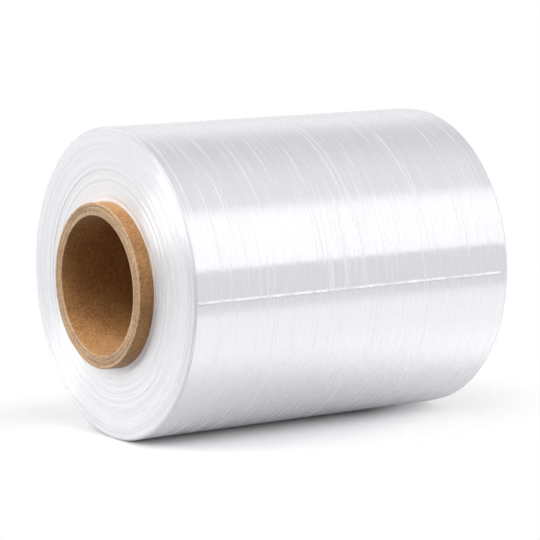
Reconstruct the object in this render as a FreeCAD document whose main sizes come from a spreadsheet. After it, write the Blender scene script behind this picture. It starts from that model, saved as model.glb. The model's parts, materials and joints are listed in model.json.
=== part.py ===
"""A small roll of clear stretch film wound on a cardboard core, standing on one end.

Millimetres. +Z runs up the roll's axis. The origin is on the axis, at the level that the core stands on.
"""
import FreeCAD, Part
import math
import os

import Sketcher

V = FreeCAD.Vector

# Driving sizes
SIZES = [
    ("core_bore", 38.0, "diameter of the hole through the core"),
    ("core_wall", 3.6, "thickness of the board tube, all plies together"),
    ("core_overhang", 4.3, "how far the core stands out of the film at each end"),
    ("rim_wear", 0.45, "bevel that wear has left on the core's outer edges"),
    ("mouth_wear", 0.3, "bevel that the saw has left at each mouth of the bore"),
    ("ply_lines", 2, "glue lines that show on each cut end of the core"),
    ("ply_line_width", 0.35, "width of one glue line"),
    ("ply_line_depth", 0.2, "depth of one glue line"),
    ("film_width", 104.0, "width of the film, so the length of the winding"),
    ("film_build", 19.9, "depth of film wound on the core"),
    ("film_lap", 0.3, "height of the step where the last turn ends"),
    ("shoulder_reach", 0.9, "how far in from the barrel the rounded shoulder starts"),
    ("last_turns_margin", 3.6, "how far in from the foot's edge the last turns stop"),
    ("last_turns_proud", 0.12, "least that the last turns stand proud of the turns below them"),
    ("turn_bands", 8, "groups of turns that show on the flat of each end"),
    ("turn_relief", 0.3, "most that one group of turns stands in or out of the next"),
    ("rim_bands", 3, "stepped groups of turns next to each shoulder"),
    ("rim_band_width", 1.1, "width of one stepped group"),
    ("rim_step", 0.12, "how far each stepped group stands in from the last"),
]

# The winding is padded longer than the film, and a cut at each end leaves the turns at their own levels.
CUT_CLEARANCE = 1.0
# The shoulder's curve is cut in this many bevels, and runs out this far past the last turn, so that it
# meets the barrel at a clear angle.
SHOULDER_BEVELS = 4
SHOULDER_RUN_OUT = 0.15
# These start the variation of the two ends at different places, so that the ends differ.
FOOT_PHASE = 0.9
HEAD_PHASE = 0.0
# No winder lays its turns quite evenly: these shares of a band's width and relief vary from band to band.
WIDTH_VARIATION = 0.3
RELIEF_VARIATION = 0.45
# Angles, in radians from one band to the next, that keep the variation from repeating.
WIDTH_WAVE = 2.4
RELIEF_WAVE = 2.1
# Two points closer than this are the same place.
SAME_PLACE = 1e-6

CORE_RADIUS = "(Sizes.core_bore / 2 + Sizes.core_wall)"
FILM_RADIUS = f"({CORE_RADIUS} + Sizes.film_build)"
CORE_LENGTH = "(Sizes.film_width + 2 * Sizes.core_overhang)"
RIM_START = f"({FILM_RADIUS} - Sizes.shoulder_reach - Sizes.rim_bands * Sizes.rim_band_width)"

doc = FreeCAD.newDocument("stretch_wrap_roll")
sheet = doc.addObject("Spreadsheet::Sheet", "Sizes")
for row, (alias, size, note) in enumerate(SIZES, start=1):
    sheet.set(f"A{row}", note)
    sheet.set(f"B{row}", str(size))
    sheet.setAlias(f"B{row}", alias)
doc.recompute()


def value(expression):
    """Work out an expression with the numbers that the sheet holds."""
    return float(sheet.evalExpression(expression))


def new_body(label):
    """Make an empty body for one sub-part."""
    body = doc.addObject("PartDesign::Body", label)
    body.Label = label
    return body


def new_sketch(body, name, plane_role):
    """Put a sketch on one of the body's own origin planes."""
    sketch = body.newObject("Sketcher::SketchObject", name)
    planes = [plane for plane in body.Origin.OriginFeatures if plane.Role == plane_role]
    sketch.AttachmentSupport = (planes[0], "")
    sketch.MapMode = "FlatFace"
    return sketch


def bind(sketch, expression, kind, *references):
    """Add a dimension to a sketch and tie it to the sheet."""
    index = sketch.addConstraint(Sketcher.Constraint(kind, *references, value(expression)))
    sketch.setExpression(f"Constraints[{index}]", expression)


def bind_point(sketch, geometry, end, x, y):
    """Hold one point of a curve at a place given by two expressions."""
    bind(sketch, x, "DistanceX", -1, 1, geometry, end)
    bind(sketch, y, "DistanceY", -1, 1, geometry, end)


def outline(sketch, points):
    """Draw a closed outline of straight sides through (x, y) expressions, each corner tied to the sheet."""
    corners = [V(value(x), value(y), 0) for x, y in points]
    sides = [
        sketch.addGeometry(Part.LineSegment(start, end))
        for start, end in zip(corners, corners[1:] + corners[:1])
    ]
    for side, following, (x, y) in zip(sides, sides[1:] + sides[:1], points):
        sketch.addConstraint(Sketcher.Constraint("Coincident", side, 2, following, 1))
        bind_point(sketch, side, 1, x, y)


def spin(body, kind, name, sketch):
    """Turn a profile once round the roll's axis, to add material or to cut it away."""
    feature = body.newObject(f"PartDesign::{kind}", name)
    feature.Profile = sketch
    feature.ReferenceAxis = (sketch, ["V_Axis"])
    feature.Angle = 360
    doc.recompute()
    return feature


def bevel(body, name, base, radius, heights, size):
    """Bevel the circular edges of a feature that have this radius and lie at these heights."""
    names = []
    for index, edge in enumerate(base.Shape.Edges, start=1):
        round_edge = isinstance(edge.Curve, Part.Circle) and abs(edge.Curve.Radius - radius) < SAME_PLACE
        if round_edge and any(abs(edge.Curve.Center.z - height) < SAME_PLACE for height in heights):
            names.append(f"Edge{index}")
    chamfer = body.newObject("PartDesign::Chamfer", name)
    chamfer.Base = (base, names)
    chamfer.setExpression("Size", size)
    doc.recompute()
    return chamfer


# Cardboard core: a wound board tube, cut square at both ends
def make_core():
    body = new_body("cardboard_core")
    bore_radius = "Sizes.core_bore / 2"
    wall = new_sketch(body, "core_wall_section", "XZ_Plane")
    outline(wall, [
        (bore_radius, "0"),
        (CORE_RADIUS, "0"),
        (CORE_RADIUS, CORE_LENGTH),
        (bore_radius, CORE_LENGTH),
    ])
    tube = spin(body, "Revolution", "core_tube", wall)

    ends = [0.0, value(CORE_LENGTH)]
    rim = bevel(body, "core_worn_rims", tube, value(CORE_RADIUS), ends, "Sizes.rim_wear")
    bevel(body, "core_bore_mouths", rim, value(bore_radius), ends, "Sizes.mouth_wear")

    plies = new_sketch(body, "core_ply_lines", "XZ_Plane")
    count = int(value("Sizes.ply_lines"))
    for line in range(1, count + 1):
        middle = f"Sizes.core_bore / 2 + Sizes.core_wall * {line} / {count + 1}"
        inner = f"{middle} - Sizes.ply_line_width / 2"
        outer = f"{middle} + Sizes.ply_line_width / 2"
        outline(plies, [(inner, "0"), (outer, "0"), (middle, "Sizes.ply_line_depth")])
        outline(plies, [
            (inner, CORE_LENGTH),
            (middle, f"{CORE_LENGTH} - Sizes.ply_line_depth"),
            (outer, CORE_LENGTH),
        ])
    spin(body, "Groove", "core_ply_grooves", plies)
    return body


# Last turn: the barrel's section is a spiral of four quarter arcs, whose radius grows by one lap in a turn
def draw_last_turn(sketch):
    """Draw the spiral clockwise from below the film's loose edge round to that edge, and close the step.

    The four centres are the corners of a square whose side is a quarter of the lap, so each arc is
    tangent to the next. The loose edge faces -X on the -Y side of the barrel.
    """
    side = "Sizes.film_lap / 4"
    centres = [
        (f"-{side} / 2", f"{side} / 2"),
        (f"{side} / 2", f"{side} / 2"),
        (f"{side} / 2", f"-{side} / 2"),
        (f"-{side} / 2", f"-{side} / 2"),
    ]
    quarter = math.pi / 2
    arcs = []
    for step, (x, y) in enumerate(centres):
        radius = f"{FILM_RADIUS} + {step} * {side}"
        circle = Part.Circle(V(value(x), value(y), 0), V(0, 0, 1), value(radius))
        start = -quarter * (step + 2)
        arcs.append(sketch.addGeometry(Part.ArcOfCircle(circle, start, start + quarter)))
        bind(sketch, radius, "Radius", arcs[-1])
    # An arc runs anticlockwise, so point 2 is where the film comes in and point 1 is where it leaves.
    bind_point(sketch, arcs[0], 3, *centres[0])
    sketch.addConstraint(Sketcher.Constraint("Vertical", arcs[0], 3, arcs[0], 2))
    for step, arc in enumerate(arcs):
        direction = "Vertical" if step % 2 else "Horizontal"
        sketch.addConstraint(Sketcher.Constraint(direction, arc, 3, arc, 1))
    for arc, following in zip(arcs, arcs[1:]):
        sketch.addConstraint(Sketcher.Constraint("Tangent", arc, 1, following, 2))
    tip = sketch.getPoint(arcs[-1], 1)
    root = sketch.getPoint(arcs[0], 2)
    loose_edge = sketch.addGeometry(Part.LineSegment(tip, root))
    sketch.addConstraint(Sketcher.Constraint("Coincident", arcs[-1], 1, loose_edge, 1))
    sketch.addConstraint(Sketcher.Constraint("Coincident", loose_edge, 2, arcs[0], 2))


# Wound ends: groups of turns that stand in and out on the flat, then step down to a rounded shoulder
def flat_bands(phase):
    """List (outer radius, depth) of the groups of turns on the flat, every second one standing in."""
    count = int(value("Sizes.turn_bands"))
    bands = []
    for band in range(1, count + 1):
        stray = math.sin(math.pi * band / count) * math.sin(WIDTH_WAVE * band + phase)
        share = (band + WIDTH_VARIATION * stray) / count
        lean = 0.5 + 0.5 * math.sin(RELIEF_WAVE * band + phase)
        drop = (band % 2) * (1 - RELIEF_VARIATION) + RELIEF_VARIATION * lean
        radius = f"{CORE_RADIUS} + ({RIM_START} - {CORE_RADIUS}) * {share:.3f}"
        bands.append((radius, f"Sizes.turn_relief * {drop:.3f}"))
    return bands


def rim_bands():
    """List (outer radius, depth) of the groups of turns that step down towards the shoulder."""
    count = int(value("Sizes.rim_bands"))
    return [
        (f"{RIM_START} + {band} * Sizes.rim_band_width", f"Sizes.turn_relief + {band} * Sizes.rim_step")
        for band in range(1, count + 1)
    ]


def end_profile(phase, barrel):
    """List (radius, depth below the film's edge) for one end, from the core out to the barrel."""
    inner = CORE_RADIUS
    points = []
    for outer, depth in flat_bands(phase) + rim_bands():
        points += [(inner, depth), (outer, depth)]
        inner = outer
    rim_radius, rim_depth = points[-1]
    shoulder = f"({barrel} - ({rim_radius}))"
    for bevel_end in range(1, SHOULDER_BEVELS + 1):
        angle = math.pi / 2 * bevel_end / SHOULDER_BEVELS
        radius = f"{rim_radius} + {shoulder} * {math.sin(angle):.4f}"
        points.append((radius, f"{rim_depth} + {shoulder} * {1 - math.cos(angle):.4f}"))
    return points


def cut_end(body, name, profile, height):
    """Cut one end back to its profile. height turns a depth below the film's edge into a level."""
    above = f"-2 * {CUT_CLEARANCE}"
    inside = f"{CORE_RADIUS} - {CUT_CLEARANCE}"
    outside = f"{FILM_RADIUS} + Sizes.film_lap + 2 * {CUT_CLEARANCE}"
    loop = [(inside, above), (inside, profile[0][1]), *profile]
    loop += [(outside, profile[-1][1]), (outside, above)]
    sketch = new_sketch(body, f"{name}_profile", "XZ_Plane")
    outline(sketch, [(radius, height(depth)) for radius, depth in loop])
    spin(body, "Groove", name, sketch)


# Film winding: all the turns of film are one piece, wound tight on the core
def make_winding():
    body = new_body("film_winding")
    body.setExpression("Placement.Base.z", "Sizes.core_overhang")
    section = new_sketch(body, "winding_section", "XY_Plane")
    section.AttachmentOffset = FreeCAD.Placement(V(0, 0, -CUT_CLEARANCE), FreeCAD.Rotation())
    draw_last_turn(section)
    bore = section.addGeometry(Part.Circle(V(0, 0, 0), V(0, 0, 1), value(CORE_RADIUS)))
    section.addConstraint(Sketcher.Constraint("Coincident", bore, 3, -1, 1))
    bind(section, CORE_RADIUS, "Radius", bore)
    turns = body.newObject("PartDesign::Pad", "winding_turns")
    turns.Profile = section
    turns.setExpression("Length", f"Sizes.film_width + 2 * {CUT_CLEARANCE}")
    doc.recompute()

    # The last turns lie a little towards the head, and leave a margin of the turns below them at the foot.
    under = f"({FILM_RADIUS} - Sizes.last_turns_proud)"
    foot = [*end_profile(FOOT_PHASE, under), (under, "Sizes.last_turns_margin")]
    cut_end(body, "foot_turns", foot, lambda depth: depth)
    over = f"({FILM_RADIUS} + Sizes.film_lap + {SHOULDER_RUN_OUT})"
    head = end_profile(HEAD_PHASE, over)
    cut_end(body, "head_turns", head, lambda depth: f"Sizes.film_width - ({depth})")
    return body


def check(bodies):
    """Stop if any object failed to compute or any sub-part isn't one sound solid."""
    doc.recompute()
    for item in doc.Objects:
        if "Invalid" in item.State or "Error" in item.State:
            raise RuntimeError(f"{item.Name} did not compute: {item.State}")
        if item.TypeId == "Sketcher::SketchObject" and not item.FullyConstrained:
            raise RuntimeError(f"{item.Name} has a loose point")
    for body in bodies:
        shape = body.Shape
        if shape.isNull() or not shape.isValid() or len(shape.Solids) != 1:
            raise RuntimeError(f"{body.Label} is not one sound solid")


parts = [make_core(), make_winding()]
check(parts)
os.makedirs("parts", exist_ok=True)
for part in parts:
    part.Shape.exportStep(f"parts/{part.Label}.step")
    box = part.Shape.optimalBoundingBox(False, False)
    print(f"{part.Label}: {box.XLength:.2f} x {box.YLength:.2f} x {box.ZLength:.2f} mm, "
          f"from z = {box.ZMin:.2f}, volume {part.Shape.Volume / 1000:.1f} cm3")
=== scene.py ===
# %% [markdown]
# # A roll of clear stretch film on a cardboard core
# The real object is two pieces: a tube of kraft board, and one long film wound on it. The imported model
# is loaded first, because it holds every true size. It stands on the end of its core, with +Z up its axis.

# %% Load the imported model
import json
import math

import bpy
import numpy as np
from mathutils import Matrix, Vector


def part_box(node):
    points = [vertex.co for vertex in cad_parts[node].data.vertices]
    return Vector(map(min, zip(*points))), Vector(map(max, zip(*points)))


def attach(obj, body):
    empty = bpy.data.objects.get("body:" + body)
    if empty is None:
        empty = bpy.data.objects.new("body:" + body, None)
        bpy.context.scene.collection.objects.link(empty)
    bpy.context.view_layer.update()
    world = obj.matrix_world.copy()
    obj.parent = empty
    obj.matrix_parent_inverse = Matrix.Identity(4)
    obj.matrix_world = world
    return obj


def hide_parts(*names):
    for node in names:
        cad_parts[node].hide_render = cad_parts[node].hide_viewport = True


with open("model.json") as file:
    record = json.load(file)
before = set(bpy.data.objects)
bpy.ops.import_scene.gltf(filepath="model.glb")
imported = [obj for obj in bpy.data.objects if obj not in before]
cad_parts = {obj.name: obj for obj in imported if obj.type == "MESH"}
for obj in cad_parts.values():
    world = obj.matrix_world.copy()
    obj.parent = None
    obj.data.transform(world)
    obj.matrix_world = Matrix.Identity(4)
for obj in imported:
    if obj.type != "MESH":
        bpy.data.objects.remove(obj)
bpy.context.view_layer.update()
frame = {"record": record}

# %% [markdown]
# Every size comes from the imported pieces: the winding's box gives its radius and its two ends, and the
# core's box and bore give the tube. Only what is finer than the model is a new number, in millimetres.

# %% Sizes, in metres
MM = 0.001
film_low, film_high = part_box("film_winding")
core_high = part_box("cardboard_core")[1]
FILM_LAP = 0.3 * MM
TIP_RADIUS = -film_low.y
FILM_RADIUS = TIP_RADIUS - FILM_LAP
CORE_RADIUS = core_high.x
CORE_LENGTH = core_high.z
BORE_RADIUS = frame["record"]["mounts"][0]["dims"]["r_mm"] * MM
FILM_FOOT, FILM_HEAD = film_low.z, film_high.z
print(f"film {2 * FILM_RADIUS / MM:.1f} across and {(FILM_HEAD - FILM_FOOT) / MM:.1f} wide, "
      f"core {2 * CORE_RADIUS / MM:.1f} across and {CORE_LENGTH / MM:.1f} long, in mm")

# %% [markdown]
# The photograph shows the roll lying down, seen from the left and a little above. The part stands, so the
# camera leans over with it: the roll's top end is at the left of the picture, and the picture's up is +X.
# The three directions of the photograph are written in the roll's own frame, and the camera is then placed
# by its two angles, its distance and a small shift of aim, found by fitting the roll's outlines.

# %% Camera
PHOTO_RIGHT = Vector((0, 0, -1))
PHOTO_AWAY = Vector((0, 1, 0))
PHOTO_UP = Vector((1, 0, 0))
TURN = math.radians(33.82)
TILT = math.radians(8.44)
DISTANCE = 18.505 * FILM_RADIUS
PHOTO_FOCAL = 2800
PHOTO_WIDTH = 540
SENSOR = 36
AIM_RIGHT = 0.0022 * FILM_RADIUS
AIM_UP = -0.0063 * FILM_RADIUS


def place_camera():
    """Aim at the middle of the film's width, from TURN to the left of square-on and TILT above level."""
    back = (-math.sin(TURN) * math.cos(TILT) * PHOTO_RIGHT
            - math.cos(TURN) * math.cos(TILT) * PHOTO_AWAY + math.sin(TILT) * PHOTO_UP)
    right = math.cos(TURN) * PHOTO_RIGHT - math.sin(TURN) * PHOTO_AWAY
    up = back.cross(right)
    aim = Vector((0, 0, (FILM_FOOT + FILM_HEAD) / 2)) + AIM_RIGHT * right + AIM_UP * up
    camera = bpy.data.objects.new("camera", bpy.data.cameras.new("camera"))
    bpy.context.scene.collection.objects.link(camera)
    camera.data.sensor_width = SENSOR
    camera.data.lens = SENSOR * PHOTO_FOCAL / PHOTO_WIDTH
    turn = Matrix((right, up, back)).transposed().to_4x4()
    camera.matrix_world = Matrix.Translation(aim + DISTANCE * back) @ turn
    camera.data.clip_start, camera.data.clip_end = 0.05, 20
    bpy.context.scene.camera = camera
    print("camera at", [round(x, 3) for x in camera.matrix_world.translation])


place_camera()

# %% [markdown]
# ## Helpers for materials
# A colour is written as the sRGB hex that a paint chart gives, and turned to linear light once. One small
# function adds a node: words set its properties, and the dictionary sets its sockets or links them.

# %% Colours and nodes
def linear(hex_colour):
    """Turn an sRGB hex colour into linear RGBA: divide by 12.92 near black, else a 2.4 power curve."""
    shares = [int(hex_colour[i:i + 2], 16) / 255 for i in (1, 3, 5)]
    return [c / 12.92 if c <= 0.04045 else ((c + 0.055) / 1.055) ** 2.4 for c in shares] + [1]


def add(tree, kind, sockets=None, **settings):
    """Add one node. A socket's value may be a number, a colour or another node's output."""
    node = tree.nodes.new(kind)
    for name, value in settings.items():
        setattr(node, name, value)
    for name, value in (sockets or {}).items():
        if isinstance(value, bpy.types.NodeSocket):
            tree.links.new(value, node.inputs[name])
        else:
            node.inputs[name].default_value = value
    return node


def new_material(name):
    """Make an empty node material and return it with its tree."""
    material = bpy.data.materials.new(name)
    material.use_nodes = True
    material.node_tree.nodes.clear()
    return material, material.node_tree


def ramp(tree, fac, stops):
    """Map a number to greys or colours through (position, colour) stops, with straight lines between."""
    node = add(tree, "ShaderNodeValToRGB", {0: fac})
    band = node.color_ramp
    while len(band.elements) < len(stops):
        band.elements.new(0)
    for element, (position, colour) in zip(band.elements, stops):
        element.position = position
        element.color = colour
    return node.outputs["Color"]


# %% [markdown]
# ## Studio
# Glossy film shows its surroundings more than itself, so the studio is designed as rings of light round
# the roll's axis, read clockwise from the picture's up. The barrel mirrors the ring on the foot's side: a
# dim ceiling, one large soft box in front and above, a dark gap at the height of the horizon, and a pale
# floor. The head mirrors the other ring: bright above and behind, dark where the photographer stands.
# Round lamps lie on top of the rings, and some take light away: they draw the bright and dark wedges of
# the film's end.

# %% Rings of light
def level(brightness):
    """Write a brightness as a neutral colour."""
    return [brightness, brightness, brightness, 1]


# Angle round the axis from the picture's up, towards the camera, in degrees, and the light's brightness.
FOOT_RING = [
    (-180, 0.8), (-112, 0.8), (-98, 1.4), (-84, 1.3), (-76, 0.86), (-60, 1.17), (-52, 1.15), (-44, 0.7),
    (-37, 0.15), (-28, 0.0), (-20, 0.0), (-12, 0.15), (4, 0.45), (20, 0.62), (33.5, 0.74), (34.5, 2.2),
    (52, 2.3), (78, 2.2), (79, 0.3), (108, 0.3), (109.5, 1.47), (124, 1.57), (136, 1.7), (148, 1.9),
    (160, 2.07), (170, 1.96), (180, 1.7),
]
HEAD_RING = [
    (-180, 0.1), (-150, 0.15), (-120, 0.45), (-60, 0.55), (-30, 0.7), (25, 0.7), (45, 0.4), (60, 0.06),
    (150, 0.06), (180, 0.1),
]
HEAD_FROM, HEAD_FULL = 0.05, 0.4

# Direction, outer and inner angle in degrees, and the brightness that it adds or takes away.
LAMPS = [
    ((-0.0115, 0.6865, 0.727), 4.5, 2.5, 7.0),
    ((0.147, 0.528, 0.836), 9, 5, 6.0),
    ((-0.119, 0.700, 0.7035), 3, 2.2, -6.0),
    ((-0.085, 0.553, 0.8285), 6, 4.8, -6.0),
    ((-0.040, 0.36, 0.932), 8.5, 6.5, -6.0),
    ((-0.147, 0.822, 0.55), 24, 14, 0.75),
    ((0.5, 0.05, 0.86), 34, 20, 1.75),
    ((0.147, -0.822, 0.55), 13, 8, 0.7),
    ((0, 0, -1), 42, 26, -4.0),
]
BACKDROP = 1.0


def ring_of_light(tree, share, ring):
    """Look up a ring's brightness at a share of a whole turn."""
    return ramp(tree, share, [((angle + 180) / 360, level(value)) for angle, value in ring])


def light_studio():
    """Brightness by direction: two rings by the angle atan2(-y, x), blended by z, and round lamps on top.

    The camera itself sees plain white.
    """
    world = bpy.data.worlds.new("studio")
    bpy.context.scene.world = world
    world.use_nodes = True
    tree = world.node_tree
    tree.nodes.clear()
    way = add(tree, "ShaderNodeTexCoord").outputs["Generated"]
    axes = add(tree, "ShaderNodeSeparateXYZ", {0: way})
    minus_y = add(tree, "ShaderNodeMath", {0: axes.outputs["Y"], 1: -1.0}, operation="MULTIPLY")
    angle = add(tree, "ShaderNodeMath", {0: minus_y.outputs[0], 1: axes.outputs["X"]},
                operation="ARCTAN2").outputs[0]
    share = add(tree, "ShaderNodeMapRange",
                {"Value": angle, "From Min": -math.pi, "From Max": math.pi}).outputs[0]
    side = add(tree, "ShaderNodeMapRange",
               {"Value": axes.outputs["Z"], "From Min": HEAD_FROM, "From Max": HEAD_FULL},
               interpolation_type="SMOOTHSTEP").outputs[0]
    foot, head = ring_of_light(tree, share, FOOT_RING), ring_of_light(tree, share, HEAD_RING)
    foot_side = add(tree, "ShaderNodeMath", {0: side, 1: -1.0, 2: 1.0},
                    operation="MULTIPLY_ADD").outputs[0]
    head_part = add(tree, "ShaderNodeMath", {0: head, 1: side}, operation="MULTIPLY").outputs[0]
    total = add(tree, "ShaderNodeMath", {0: foot, 1: foot_side, 2: head_part},
                operation="MULTIPLY_ADD").outputs[0]
    for direction, outer, inner, brightness in LAMPS:
        near = add(tree, "ShaderNodeVectorMath", {0: way, 1: Vector(direction).normalized()},
                   operation="DOT_PRODUCT").outputs["Value"]
        edge, full = (math.cos(math.radians(degrees)) for degrees in (outer, inner))
        lamp = add(tree, "ShaderNodeMapRange", {"Value": near, "From Min": edge, "From Max": full},
                   interpolation_type="SMOOTHSTEP").outputs[0]
        total = add(tree, "ShaderNodeMath", {0: lamp, 1: brightness, 2: total},
                    operation="MULTIPLY_ADD").outputs[0]
    light = add(tree, "ShaderNodeMath", {0: total, 1: 0.0}, operation="MAXIMUM").outputs[0]
    around = add(tree, "ShaderNodeBackground", {"Color": light})
    seen = add(tree, "ShaderNodeBackground", {"Color": level(BACKDROP)})
    path = add(tree, "ShaderNodeLightPath")
    mix = add(tree, "ShaderNodeMixShader",
              {0: path.outputs["Is Camera Ray"], 1: around.outputs[0], 2: seen.outputs[0]})
    add(tree, "ShaderNodeOutputWorld", {"Surface": mix.outputs[0]})
    bpy.context.scene.view_settings.view_transform = "Standard"


light_studio()

# %% [markdown]
# ## Grids
# Both pieces are surfaces worked out on a grid: one direction follows a section of the piece, and the other
# goes round the axis. The helper joins neighbouring points into four-sided faces, all rows at once.

# %% Grid to mesh
def ring_faces(index):
    """Join each point of a grid of vertex numbers to its neighbours along both directions."""
    corners = [index[:-1, :-1], index[1:, :-1], index[1:, 1:], index[:-1, 1:]]
    return np.stack(corners, axis=-1).reshape(-1, 4)


def make_piece(name, points, faces, triangles=None):
    """Turn arrays of points and of faces into one smooth object, placed in its mesh."""
    mesh = bpy.data.meshes.new(name)
    loops = faces.tolist() + ([] if triangles is None else triangles.tolist())
    mesh.from_pydata(points.reshape(-1, 3).tolist(), [], loops)
    mesh.shade_smooth()
    piece = bpy.data.objects.new(name, mesh)
    bpy.context.scene.collection.objects.link(piece)
    print(f"{name}: {len(mesh.vertices)} points, {len(mesh.polygons)} faces")
    return piece


def smooth_noise(position, wavelength, seed):
    """Even noise along a line: random values one wavelength apart, joined by cosine curves."""
    steps = np.asarray(position) / wavelength
    steps = steps - steps.min()
    values = np.random.default_rng(seed).uniform(-1, 1, int(steps.max()) + 3)
    cell = steps.astype(int)
    blend = 0.5 - 0.5 * np.cos(np.pi * (steps - cell))
    return values[cell] * (1 - blend) + values[cell + 1] * blend


# %% [markdown]
# ## Film winding
# Some 860 turns of film, 23 microns thick, lie on each other. Their edges make the two ends: nearly flat,
# with groups of turns that stand in or out and step down towards a soft shoulder. On the barrel the last
# turn grows by one lap in its way round and stops in a loose edge, whose lip stands up a little. The
# surface is a function of the distance along the section and the angle round the axis.

# %% Section of the winding
SHOULDER_REACH = 0.9 * MM
SHOULDER_DROP = 0.6 * MM
TURN_RELIEF = 0.3 * MM
WIDE_GROUP = 2.6 * MM
NARROW_GROUP = 0.9 * MM
FINE_GROUP = 0.3 * MM
FINE_RELIEF = 0.02 * MM
RIM_WIDTH = 3.3 * MM
RIM_DROP = 0.36 * MM
FOOT_MARGIN = 3.6 * MM
LAST_TURNS_PROUD = 0.12 * MM
UNDER_RADIUS = FILM_RADIUS - LAST_TURNS_PROUD
FACE_STATIONS = 124
SHOULDER_STATIONS = 8
MARGIN_STATIONS = 8
BESIDE = 0.03 * MM
BARREL_STATIONS = 204


def end_depth(radius, seed):
    """Depth of the turns below the film's edge: noise at three widths of group, then three steps down."""
    wide = 0.2 * smooth_noise(radius, WIDE_GROUP, seed)
    narrow = 0.3 * smooth_noise(radius, NARROW_GROUP, seed + 1)
    wander = 0.5 + wide + narrow
    fine = FINE_RELIEF * smooth_noise(radius, FINE_GROUP, seed + 2)
    rim = np.clip((radius - (radius[-1] - RIM_WIDTH)) / RIM_WIDTH, 0, 1) * 3
    stepped = (np.floor(rim) + np.clip((rim % 1) * 4, 0, 1)) / 4
    return TURN_RELIEF * wander + fine + RIM_DROP * np.minimum(stepped, 1)


def half_section(barrel_radius, seed):
    """Radius and depth from the core out over one end: the flat of turns, then a quarter of an ellipse."""
    radius = np.linspace(CORE_RADIUS, barrel_radius - SHOULDER_REACH, FACE_STATIONS)
    depth = end_depth(radius, seed)
    turn = np.linspace(0, math.pi / 2, SHOULDER_STATIONS + 1)[1:]
    radius = np.append(radius, radius[-1] + SHOULDER_REACH * np.sin(turn))
    depth = np.append(depth, depth[-1] + SHOULDER_DROP * (1 - np.cos(turn)))
    return radius, depth


def winding_section():
    """Go from the core out over the head, down the barrel and in over the foot, back to the core.

    The third array is 1 where the last turns lie. They stop at the head's shoulder and a little short of
    the foot, and there a narrow ledge leads down to the turns below them.
    """
    head_radius, head_depth = half_section(UNDER_RADIUS, 11)
    foot_radius, foot_depth = (part[::-1] for part in half_section(UNDER_RADIUS, 47))
    ledge = FILM_FOOT + FOOT_MARGIN
    top = FILM_HEAD - head_depth[-1]
    even = np.linspace(top - BESIDE, ledge + BESIDE, BARREL_STATIONS - 2)
    barrel = np.concatenate([[top], even, [ledge]])
    below = np.linspace(ledge - BESIDE, FILM_FOOT + foot_depth[0], MARGIN_STATIONS)
    margin = np.append(ledge, below[:-1])
    radius = np.concatenate([head_radius, np.full(BARREL_STATIONS, FILM_RADIUS),
                             np.full(MARGIN_STATIONS, UNDER_RADIUS), foot_radius])
    height = np.concatenate([FILM_HEAD - head_depth, barrel, margin, FILM_FOOT + foot_depth])
    growth = np.concatenate([np.zeros(len(head_radius)), np.ones(BARREL_STATIONS),
                             np.zeros(MARGIN_STATIONS + len(foot_radius))])
    return radius, height, growth


# %% [markdown]
# The loose edge needs a dip and a lip: over its last three quarters of a millimetre the film lifts off the
# turn below, and that tilt is what catches the light as a thin line. Hoops of tension ripple the barrel by
# a few hundredths of a millimetre, and each ripple comes and goes round the turn. A row or a column stands
# close beside each step, so that smooth shading doesn't smear the step over a whole face.

# %% Last turn and loose edge
EVEN_COLUMNS = 190
LIP_COLUMNS = 6
LIP_LENGTH = 0.75 * MM
DIP_LENGTH = 9 * MM
DIP_SHARE = 0.58
HOOP_HEIGHT = 0.03 * MM
HOOP_SPACING = 3.1 * MM
SMALL_HOOP_SPACING = 1.3 * MM
SWELL_SPACING = 6 * MM
LIP_WANDER_SPACING = 1.7 * MM


def turn_shares():
    """Shares of a turn where the columns stand: even, then close under the lip, one beside each edge."""
    lip, beside = (length / (2 * math.pi * FILM_RADIUS) for length in (LIP_LENGTH, BESIDE))
    even = np.linspace(beside, 1 - 1.5 * lip, EVEN_COLUMNS)
    close = np.linspace(1 - lip, 1 - beside, LIP_COLUMNS)
    return np.concatenate([[0], even, close, [1]])


def last_turn_rise(share, dip_share):
    """How far the last turn stands over its start: one lap per turn, less the dip behind the lip."""
    away = (1 - share) * 2 * math.pi * FILM_RADIUS
    back = np.clip(1 - (away - LIP_LENGTH) / DIP_LENGTH, 0, 1)
    dip = np.where(away < LIP_LENGTH, away / LIP_LENGTH, back * back * (3 - 2 * back))
    return FILM_LAP * (share - DIP_SHARE * dip_share * dip)


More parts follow.
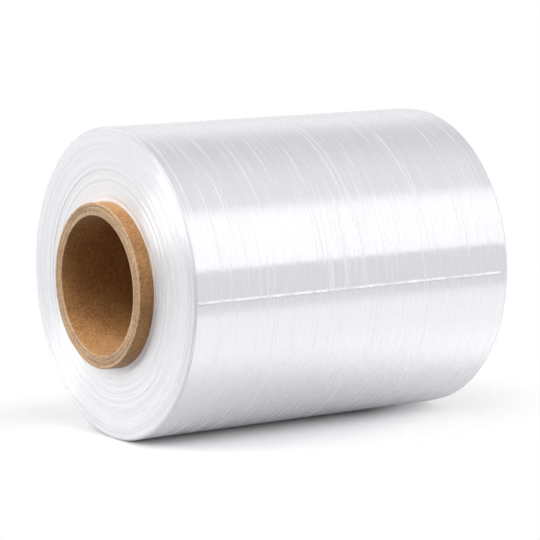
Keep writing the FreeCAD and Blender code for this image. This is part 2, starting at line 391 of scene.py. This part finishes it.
def make_winding():
    """Carry the section once round the axis.

    At each height and angle the reach is the section's radius, plus the rise of the last turn where it
    lies, less a ripple: the hoops' noise along the height, times a sine of the angle that shifts with it.
    The last column is the loose edge, and a strip of faces joins it to the first column, where the turn
    starts. Off the barrel the two columns are one.
    """
    radius, height, growth = winding_section()
    share = turn_shares()
    angle = -math.pi / 2 - 2 * math.pi * share
    hoops = smooth_noise(height, HOOP_SPACING, 5) + 0.6 * smooth_noise(height, SMALL_HOOP_SPACING, 6)
    shift = 9 * smooth_noise(height, SWELL_SPACING, 7)
    swell = 0.6 + 0.4 * np.sin(3 * angle[None, :] + shift[:, None])
    ripple = -HOOP_HEIGHT * np.abs(hoops)[:, None] * swell * (growth > 0.99)[:, None]
    broken = 0.88 + 0.12 * smooth_noise(height, LIP_WANDER_SPACING, 8)
    rise = last_turn_rise(share[None, :], broken[:, None])
    reach = radius[:, None] + growth[:, None] * rise + ripple
    points = np.stack([
        reach * np.cos(angle)[None, :],
        reach * np.sin(angle)[None, :],
        np.broadcast_to(height[:, None], reach.shape),
    ], axis=-1)
    index = np.arange(reach.size).reshape(reach.shape)
    index[growth == 0, -1] = index[growth == 0, 0]
    closed = np.vstack([index, index[:1]])
    faces = ring_faces(closed)[:, ::-1]
    stepped = np.flatnonzero(growth > 0)
    step = index[stepped[0]:stepped[-1] + 1]
    edge = np.stack([step[:-1, -1], step[1:, -1], step[1:, 0], step[:-1, 0]], axis=-1)[:, ::-1]
    first, last = stepped[0], stepped[-1]
    corners = np.array([
        [index[first - 1, 0], index[first, 0], index[first, -1]],
        [index[last + 1, 0], index[last, -1], index[last, 0]],
    ])
    return make_piece("wound_film", points, np.vstack([faces, edge]), corners)


wound_film = make_winding()

# %% [markdown]
# ## Stretch film
# The film is clear polyethylene. One layer is nearly invisible, but hundreds of them scatter light back
# as a bright cool white, and their many surfaces mirror more than one would: that is a pale base with a
# raised IOR. Tension draws the film into fine hoops, so a highlight stays narrow round the roll and is
# smeared along it. That is anisotropy, turned a quarter so that it works across the hoops. Creases run
# round with the hoops at a small slant, in groups, and two sets of them cross. They are rougher than the
# film between them, and their paler base colour is a painted highlight that stands in for the glints
# they catch, so they show best against a dark reflection. The turns themselves are 23 microns apart,
# which is too fine to show, so the finest hoops are drawn half a millimetre apart.

# %% Film finish
FINE_HOOP = 0.5 * MM
FINE_RUN = 18 * MM
LINE_HOOP = 0.42 * MM
LINE_RUN = 32 * MM
BROAD_HOOP = 2.4 * MM
BROAD_RUN = 30 * MM
HOOP_SKEW = 0.04
GROUPING = 0.5
CREASE_FROM, CREASE_FULL = 0.92, 1.06
FAINT_FROM, FAINT_FULL, FAINT_MOST = 0.5, 0.75, 0.5
CREASE_RELIEF = 0.6
RELIEF_HEIGHT = 0.03 * MM
FILM_ROUGHNESS = 0.2
CREASE_ROUGHNESS = 0.3
FILM_IOR = 2.4


def hoop_noise(tree, width, run, skew, detail):
    """Noise drawn out round the axis: quick along the radius and the height, slow along x and y.

    The fourth dimension carries y, so the pattern closes on itself round the roll.
    """
    place = add(tree, "ShaderNodeTexCoord")
    axes = add(tree, "ShaderNodeSeparateXYZ", {0: place.outputs["Object"]})
    x, y, z = (axes.outputs[name] for name in "XYZ")
    square_x = add(tree, "ShaderNodeMath", {0: x, 1: x}, operation="MULTIPLY")
    square = add(tree, "ShaderNodeMath", {0: y, 1: y, 2: square_x.outputs[0]}, operation="MULTIPLY_ADD")
    radius = add(tree, "ShaderNodeMath", {0: square.outputs[0]}, operation="SQRT")
    lean = add(tree, "ShaderNodeMath", {0: x, 1: skew, 2: z}, operation="MULTIPLY_ADD")
    across = add(tree, "ShaderNodeMath", {0: radius.outputs[0], 1: 1 / width}, operation="MULTIPLY")
    along = add(tree, "ShaderNodeMath", {0: lean.outputs[0], 1: 1 / width}, operation="MULTIPLY")
    slow_x = add(tree, "ShaderNodeMath", {0: x, 1: 1 / run}, operation="MULTIPLY")
    slow_y = add(tree, "ShaderNodeMath", {0: y, 1: 1 / run}, operation="MULTIPLY")
    where = add(tree, "ShaderNodeCombineXYZ",
                {0: across.outputs[0], 1: along.outputs[0], 2: slow_x.outputs[0]})
    noise = add(tree, "ShaderNodeTexNoise",
                {"Vector": where.outputs[0], "W": slow_y.outputs[0], "Scale": 1.0, "Detail": detail},
                noise_dimensions="4D")
    return noise.outputs[0]


def stretch_film():
    """Clear polyethylene wound under tension: bright, cool, glossy across fine hoops."""
    material, tree = new_material("wound_stretch_film")
    fine = hoop_noise(tree, FINE_HOOP, FINE_RUN, 0, 2.0)
    creases = hoop_noise(tree, LINE_HOOP, LINE_RUN, HOOP_SKEW, 0.0)
    crossed = hoop_noise(tree, LINE_HOOP * 1.3, LINE_RUN * 1.5, -HOOP_SKEW, 0.0)
    broad = hoop_noise(tree, BROAD_HOOP, BROAD_RUN, -HOOP_SKEW / 2, 2.0)
    strongest = add(tree, "ShaderNodeMath", {0: creases, 1: crossed}, operation="MAXIMUM").outputs[0]
    grouped = add(tree, "ShaderNodeMath", {0: broad, 1: GROUPING, 2: strongest},
                  operation="MULTIPLY_ADD").outputs[0]
    strong = add(tree, "ShaderNodeMapRange",
                 {"Value": grouped, "From Min": CREASE_FROM, "From Max": CREASE_FULL},
                 interpolation_type="SMOOTHSTEP").outputs[0]
    faint = add(tree, "ShaderNodeMapRange", {
        "Value": fine, "From Min": FAINT_FROM, "From Max": FAINT_FULL, "To Max": FAINT_MOST,
    }).outputs[0]
    ridges = add(tree, "ShaderNodeMath", {0: strong, 1: faint}, operation="MAXIMUM").outputs[0]
    mixed = add(tree, "ShaderNodeMath", {0: broad, 1: 1.0, 2: fine}, operation="MULTIPLY_ADD").outputs[0]
    relief = add(tree, "ShaderNodeMath", {0: ridges, 1: CREASE_RELIEF, 2: mixed},
                 operation="MULTIPLY_ADD").outputs[0]
    bump = add(tree, "ShaderNodeBump", {"Height": relief, "Strength": 1.0, "Distance": RELIEF_HEIGHT})
    rough = add(tree, "ShaderNodeMath", {0: ridges, 1: CREASE_ROUGHNESS, 2: FILM_ROUGHNESS},
                operation="MULTIPLY_ADD").outputs[0]
    # Paler base colour on the creases and the faint fine hoops: a painted highlight for the glints they
    # catch.
    painted_crease_glint = add(tree, "ShaderNodeMix", {0: ridges, 6: linear("#EBECF1"), 7: linear("#FAFBFD")},
               data_type="RGBA").outputs[2]
    around = add(tree, "ShaderNodeTangent", direction_type="RADIAL", axis="Z")
    shader = add(tree, "ShaderNodeBsdfPrincipled", {
        "Base Color": painted_crease_glint, "Roughness": rough, "IOR": FILM_IOR, "Anisotropic": 1.0,
        "Anisotropic Rotation": 0.25, "Normal": bump.outputs[0], "Tangent": around.outputs[0],
    })
    add(tree, "ShaderNodeOutputMaterial", {"Surface": shader.outputs[0]})
    return material


wound_film.data.materials.append(stretch_film())

# %% [markdown]
# ## Cardboard core
# The tube is wound from plies of kraft board and cut square. Its cut ends show the plies as rings with
# thin glue lines, sunk a little into the board, the outer rim is a little crushed by handling, and the
# bore's mouth is barely eased. The section goes once round the wall, and both cut ends are slightly wavy.

# %% Core surface
CORE_COLUMNS = 192
RIM_WEAR = 0.45 * MM
MOUTH_WEAR = 0.3 * MM
GLUE_LINES = (1 / 3, 2 / 3)
GLUE_WIDTH = 0.35 * MM
GLUE_DEPTH = 0.12 * MM
END_STATIONS = 61
WALL_STATIONS = 32
BOARD_GRAIN = 0.012 * MM
BOARD_GRAIN_WIDTH = 0.3 * MM
END_WAVE = 0.04 * MM


def core_end(seed):
    """Radius and depth from the bore's mouth to the outer rim: two eased corners and the glue lines."""
    wall = CORE_RADIUS - BORE_RADIUS
    radius = np.linspace(BORE_RADIUS, CORE_RADIUS, END_STATIONS)
    into_mouth = np.clip(1 - (radius - BORE_RADIUS) / MOUTH_WEAR, 0, 1)
    into_rim = np.clip(1 - (CORE_RADIUS - radius) / RIM_WEAR, 0, 1)
    depth = MOUTH_WEAR * (1 - np.sqrt(1 - into_mouth**2)) + RIM_WEAR * (1 - np.sqrt(1 - into_rim**2))
    for share in GLUE_LINES:
        away = np.abs(radius - BORE_RADIUS - share * wall) / (GLUE_WIDTH / 2)
        depth = depth + GLUE_DEPTH * np.clip(1 - away, 0, 1)
    return radius, depth + BOARD_GRAIN * (1 + smooth_noise(radius, BOARD_GRAIN_WIDTH, seed))


def make_core():
    """Carry the wall's section round the axis.

    The height of each point is drawn in by the sum of two sines of the angle, in full at the ends and not
    at all in the middle, so the cut ends dip by up to a tenth of a millimetre.
    """
    radius, depth = core_end(3)
    inside = np.linspace(CORE_LENGTH - depth[0], depth[0], WALL_STATIONS + 2)[1:-1]
    outside = np.linspace(depth[-1], CORE_LENGTH - depth[-1], WALL_STATIONS + 2)[1:-1]
    section_r = np.concatenate([
        radius[::-1], np.full(WALL_STATIONS, BORE_RADIUS), radius, np.full(WALL_STATIONS, CORE_RADIUS),
    ])
    section_z = np.concatenate([CORE_LENGTH - depth[::-1], inside, depth, outside])
    angle = np.linspace(0, 2 * math.pi, CORE_COLUMNS, endpoint=False)
    wave = END_WAVE * (1 + 0.5 * np.sin(3 * angle + 1) + 0.5 * np.sin(7 * angle + 2))
    to_end = 2 * section_z / CORE_LENGTH - 1
    height = section_z[:, None] - to_end[:, None] * wave[None, :]
    points = np.stack([
        section_r[:, None] * np.cos(angle)[None, :],
        section_r[:, None] * np.sin(angle)[None, :],
        height,
    ], axis=-1)
    index = np.arange(height.size).reshape(height.shape)
    closed = np.vstack([index, index[:1]])
    closed = np.hstack([closed, closed[:, :1]])
    return make_piece("kraft_core", points, ring_faces(closed))


kraft_core = make_core()

# %% [markdown]
# ## Kraft board
# Kraft board is brown, nearly matt and full of fibres. On the faces of the tube the fibres run every way,
# and on the cut ends they follow the plies round. Loose fibres give it a faint sheen at a low angle, and
# the worn corners are lighter, here more and there less. A real fibre is a few hundredths of a millimetre
# thick, so what shows is the flecks that many of them make, about half a millimetre wide.

# %% Board finish
FIBRE = 0.55 * MM
CLOUD = 7 * MM
PLY = 0.4 * MM
PLY_RUN = 14 * MM
CLOUD_SHARE, PLY_SHARE = 0.35, 0.6
END_FROM, END_TO = 0.3 * MM, 0.5 * MM
WORN_RIM, WORN_MOUTH = 0.32 * MM, 0.24 * MM
WEAR_FROM, WEAR_FULL = 0.55, 0.85


def near_corner(tree, radius, depth, corner_radius, width):
    """1 on the ring-shaped corner between a cut end and a wall, falling to 0 one width away from it."""
    beside = add(tree, "ShaderNodeMath", {0: radius, 1: corner_radius}, operation="SUBTRACT").outputs[0]
    beside = add(tree, "ShaderNodeMath", {0: beside}, operation="ABSOLUTE").outputs[0]
    away = add(tree, "ShaderNodeMath", {0: beside, 1: depth}, operation="MAXIMUM").outputs[0]
    return add(tree, "ShaderNodeMapRange", {
        "Value": away, "From Min": 0.5 * width, "From Max": width, "To Min": 1.0, "To Max": 0.0,
    }).outputs[0]


def kraft_board():
    """Unbleached board: brown and speckled by fibres, greyer on the cut ends, pale on worn corners."""
    material, tree = new_material("kraft_board")
    place = add(tree, "ShaderNodeTexCoord").outputs["Object"]
    axes = add(tree, "ShaderNodeSeparateXYZ", {0: place})
    flat = add(tree, "ShaderNodeVectorMath", {0: place, 1: (1, 1, 0)}, operation="MULTIPLY").outputs[0]
    radius = add(tree, "ShaderNodeVectorMath", {0: flat}, operation="LENGTH").outputs["Value"]
    from_middle = add(tree, "ShaderNodeMath", {0: axes.outputs["Z"], 1: CORE_LENGTH / 2},
                      operation="SUBTRACT")
    height = add(tree, "ShaderNodeMath", {0: from_middle.outputs[0]}, operation="ABSOLUTE").outputs[0]
    depth = add(tree, "ShaderNodeMath", {0: CORE_LENGTH / 2, 1: height}, operation="SUBTRACT").outputs[0]
    fibres = add(tree, "ShaderNodeTexNoise",
                 {"Vector": place, "Scale": 1 / FIBRE, "Detail": 3.0, "Roughness": 0.7}).outputs[0]
    clouds = add(tree, "ShaderNodeTexNoise",
                 {"Vector": place, "Scale": 1 / CLOUD, "Detail": 3.0}).outputs[0]
    plies = hoop_noise(tree, PLY, PLY_RUN, 0, 1.0)
    speckle = add(tree, "ShaderNodeMath", {0: clouds, 1: CLOUD_SHARE, 2: fibres},
                  operation="MULTIPLY_ADD").outputs[0]
    grain = add(tree, "ShaderNodeMath", {0: plies, 1: PLY_SHARE, 2: fibres},
                operation="MULTIPLY_ADD").outputs[0]
    side_colour = ramp(tree, speckle, [
        (0.5, linear("#764C24")), (0.66, linear("#986A39")), (0.84, linear("#AD824F")),
    ])
    end_colour = ramp(tree, grain, [
        (0.6, linear("#664C34")), (0.78, linear("#927351")), (0.98, linear("#AA8C6A")),
    ])
    end = add(tree, "ShaderNodeMapRange", {
        "Value": depth, "From Min": END_FROM, "From Max": END_TO, "To Min": 1.0, "To Max": 0.0,
    }).outputs[0]
    mixed = add(tree, "ShaderNodeMix", {0: end, 6: side_colour, 7: end_colour}, data_type="RGBA").outputs[2]
    rim = near_corner(tree, radius, depth, CORE_RADIUS, WORN_RIM)
    mouth = near_corner(tree, radius, depth, BORE_RADIUS, WORN_MOUTH)
    corners = add(tree, "ShaderNodeMath", {0: rim, 1: mouth}, operation="MAXIMUM").outputs[0]
    wear = add(tree, "ShaderNodeMapRange",
               {"Value": speckle, "From Min": WEAR_FROM, "From Max": WEAR_FULL}).outputs[0]
    worn = add(tree, "ShaderNodeMath", {0: corners, 1: wear}, operation="MULTIPLY").outputs[0]
    colour = add(tree, "ShaderNodeMix", {0: worn, 6: mixed, 7: linear("#BA996F")},
                 data_type="RGBA").outputs[2]
    relief = add(tree, "ShaderNodeMath", {0: fibres, 1: clouds}, operation="ADD").outputs[0]
    bump = add(tree, "ShaderNodeBump", {"Height": relief, "Strength": 0.6, "Distance": 0.1 * MM})
    shader = add(tree, "ShaderNodeBsdfPrincipled", {
        "Base Color": colour, "Roughness": 0.65, "IOR": 1.5, "Normal": bump.outputs[0],
        "Sheen Weight": 0.25, "Sheen Roughness": 0.4,
    })
    add(tree, "ShaderNodeOutputMaterial", {"Surface": shader.outputs[0]})
    return material


kraft_core.data.materials.append(kraft_board())

# %% [markdown]
# The film scatters light inside itself, so it is nearly as bright on its dim side as on its lit side. The
# board is opaque and shows where the light comes from: its top and the floor of the bore are bright. One
# soft lamp from above, which lights the board alone, gives that difference, and the board's colours are
# chosen a little darker for it. Light linking keeps it off the film, as a snoot on a lamp would.

# %% Lamp for the board
BOARD_LAMP_WAY = (0.85, 0.08, 0.5)
BOARD_LAMP_STRENGTH = 3.8
BOARD_LAMP_WIDTH = math.radians(40)


def light_board():
    """Shine one wide, distant lamp on the core only."""
    lamp = bpy.data.objects.new("board_lamp", bpy.data.lights.new("board_lamp", "SUN"))
    bpy.context.scene.collection.objects.link(lamp)
    lamp.data.energy = BOARD_LAMP_STRENGTH
    lamp.data.angle = BOARD_LAMP_WIDTH
    lamp.rotation_euler = Vector(BOARD_LAMP_WAY).to_track_quat("Z", "Y").to_euler()
    lit = bpy.data.collections.new("lit_by_board_lamp")
    lit.objects.link(kraft_core)
    lamp.light_linking.receiver_collection = lit
    print("the lamp shines from", [round(part, 2) for part in Vector(BOARD_LAMP_WAY).normalized()])


light_board()

# %% [markdown]
# ## Floor
# The roll lies on a white table in the photograph, and in its own frame that table is an upright plane at
# -X. It fades into the white surroundings with distance. From behind it isn't there at all, also not for
# light that is seen through it, so that every side of the roll can be looked at.

# %% Table under the lying roll
TABLE_REACH = 0.17
TABLE_GAP = 0.02 * MM
TABLE_FADE_FROM, TABLE_FADE_TO = 0.033, 0.07
TABLE_STRETCH = 0.5
TABLE_MIDDLE = 0.85 * CORE_LENGTH
TABLE_WHITE = 0.77
TABLE_WHITE_SEEN = 1.15


def table_white():
    """Matt white that thins to nothing with distance and is clear from behind.

    To the camera alone it is brighter than white, so that only the contact shadow stays below white.
    """
    material, tree = new_material("white_table")
    place = add(tree, "ShaderNodeTexCoord")
    flat = add(tree, "ShaderNodeVectorMath",
               {0: place.outputs["Object"], 1: (0, 1, TABLE_STRETCH)}, operation="MULTIPLY")
    away = add(tree, "ShaderNodeVectorMath",
               {0: flat.outputs[0], 1: (0, 0, TABLE_STRETCH * TABLE_MIDDLE)}, operation="DISTANCE")
    fade = add(tree, "ShaderNodeMapRange", {
        "Value": away.outputs["Value"], "From Min": TABLE_FADE_FROM, "From Max": TABLE_FADE_TO,
    }, interpolation_type="SMOOTHSTEP")
    side = add(tree, "ShaderNodeNewGeometry")
    path = add(tree, "ShaderNodeLightPath")
    seen_through = path.outputs["Transparent Depth"]
    behind = add(tree, "ShaderNodeMath", {0: side.outputs["Backfacing"], 1: seen_through},
                 operation="MAXIMUM")
    clear = add(tree, "ShaderNodeMath", {0: fade.outputs[0], 1: behind.outputs[0]},
                operation="MAXIMUM", use_clamp=True)
    shade = add(tree, "ShaderNodeMapRange", {
        "Value": path.outputs["Is Camera Ray"], "To Min": TABLE_WHITE, "To Max": TABLE_WHITE_SEEN,
    })
    white = add(tree, "ShaderNodeBsdfDiffuse", {"Color": shade.outputs[0]})
    gone = add(tree, "ShaderNodeBsdfTransparent")
    mix = add(tree, "ShaderNodeMixShader", {0: clear.outputs[0], 1: white.outputs[0], 2: gone.outputs[0]})
    add(tree, "ShaderNodeOutputMaterial", {"Surface": mix.outputs[0]})
    return material


def make_table():
    """One flat face at the roll's lowest point as it lies, turned to face +X."""
    x, middle = film_low.x - TABLE_GAP, CORE_LENGTH / 2
    points = np.array([
        [x, -TABLE_REACH, middle - TABLE_REACH], [x, TABLE_REACH, middle - TABLE_REACH],
        [x, TABLE_REACH, middle + TABLE_REACH], [x, -TABLE_REACH, middle + TABLE_REACH],
    ])
    table = make_piece("table", points, np.array([[0, 1, 2, 3]]))
    table.data.materials.append(table_white())
    return table


table = make_table()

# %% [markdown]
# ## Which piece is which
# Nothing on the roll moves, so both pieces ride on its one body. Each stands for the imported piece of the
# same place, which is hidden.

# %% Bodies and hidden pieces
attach(wound_film, "root")
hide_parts("film_winding")
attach(kraft_core, "root")
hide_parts("cardboard_core")
